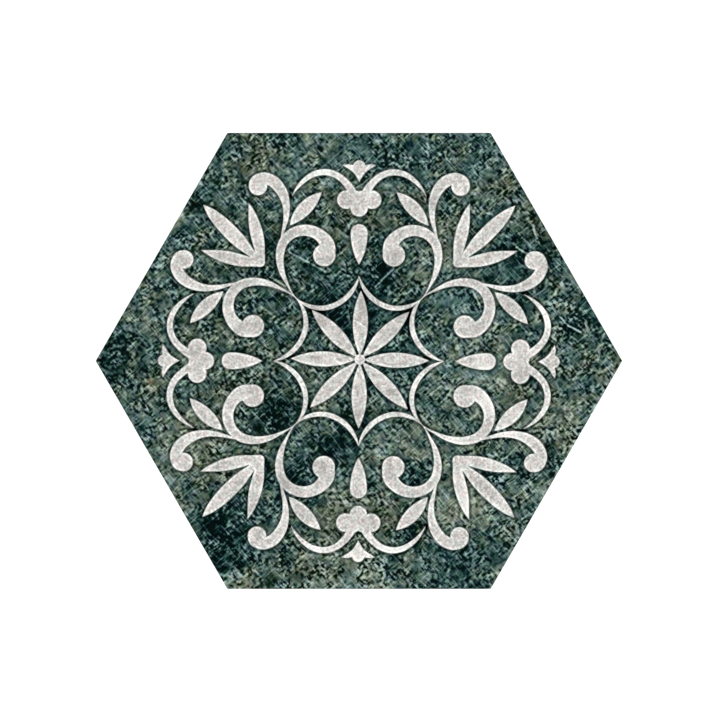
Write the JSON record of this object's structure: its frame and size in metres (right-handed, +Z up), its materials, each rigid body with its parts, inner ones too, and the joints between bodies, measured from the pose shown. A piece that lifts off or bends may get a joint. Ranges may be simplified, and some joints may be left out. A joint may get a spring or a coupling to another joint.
{
  "type": "peel and stick hexagonal vinyl tile",
  "caption": "Flat hexagonal self-adhesive vinyl tile, printed with pale scrollwork on a dark green marble ground, for covering floors or walls.",
  "frame": {"origin": "centre of the adhesive back, on the surface that the tile lies on", "axes": "+X to a corner, +Y to the middle of a straight edge, +Z up through the printed face"},
  "size_m": [0.2306, 0.2, 0.002],
  "materials": {
    "marble_print": "satin",
    "pale_print": "satin"
  },
  "bodies": {
    "root": {"vinyl_tile": "marble_print"}
  },
  "joints": []
}
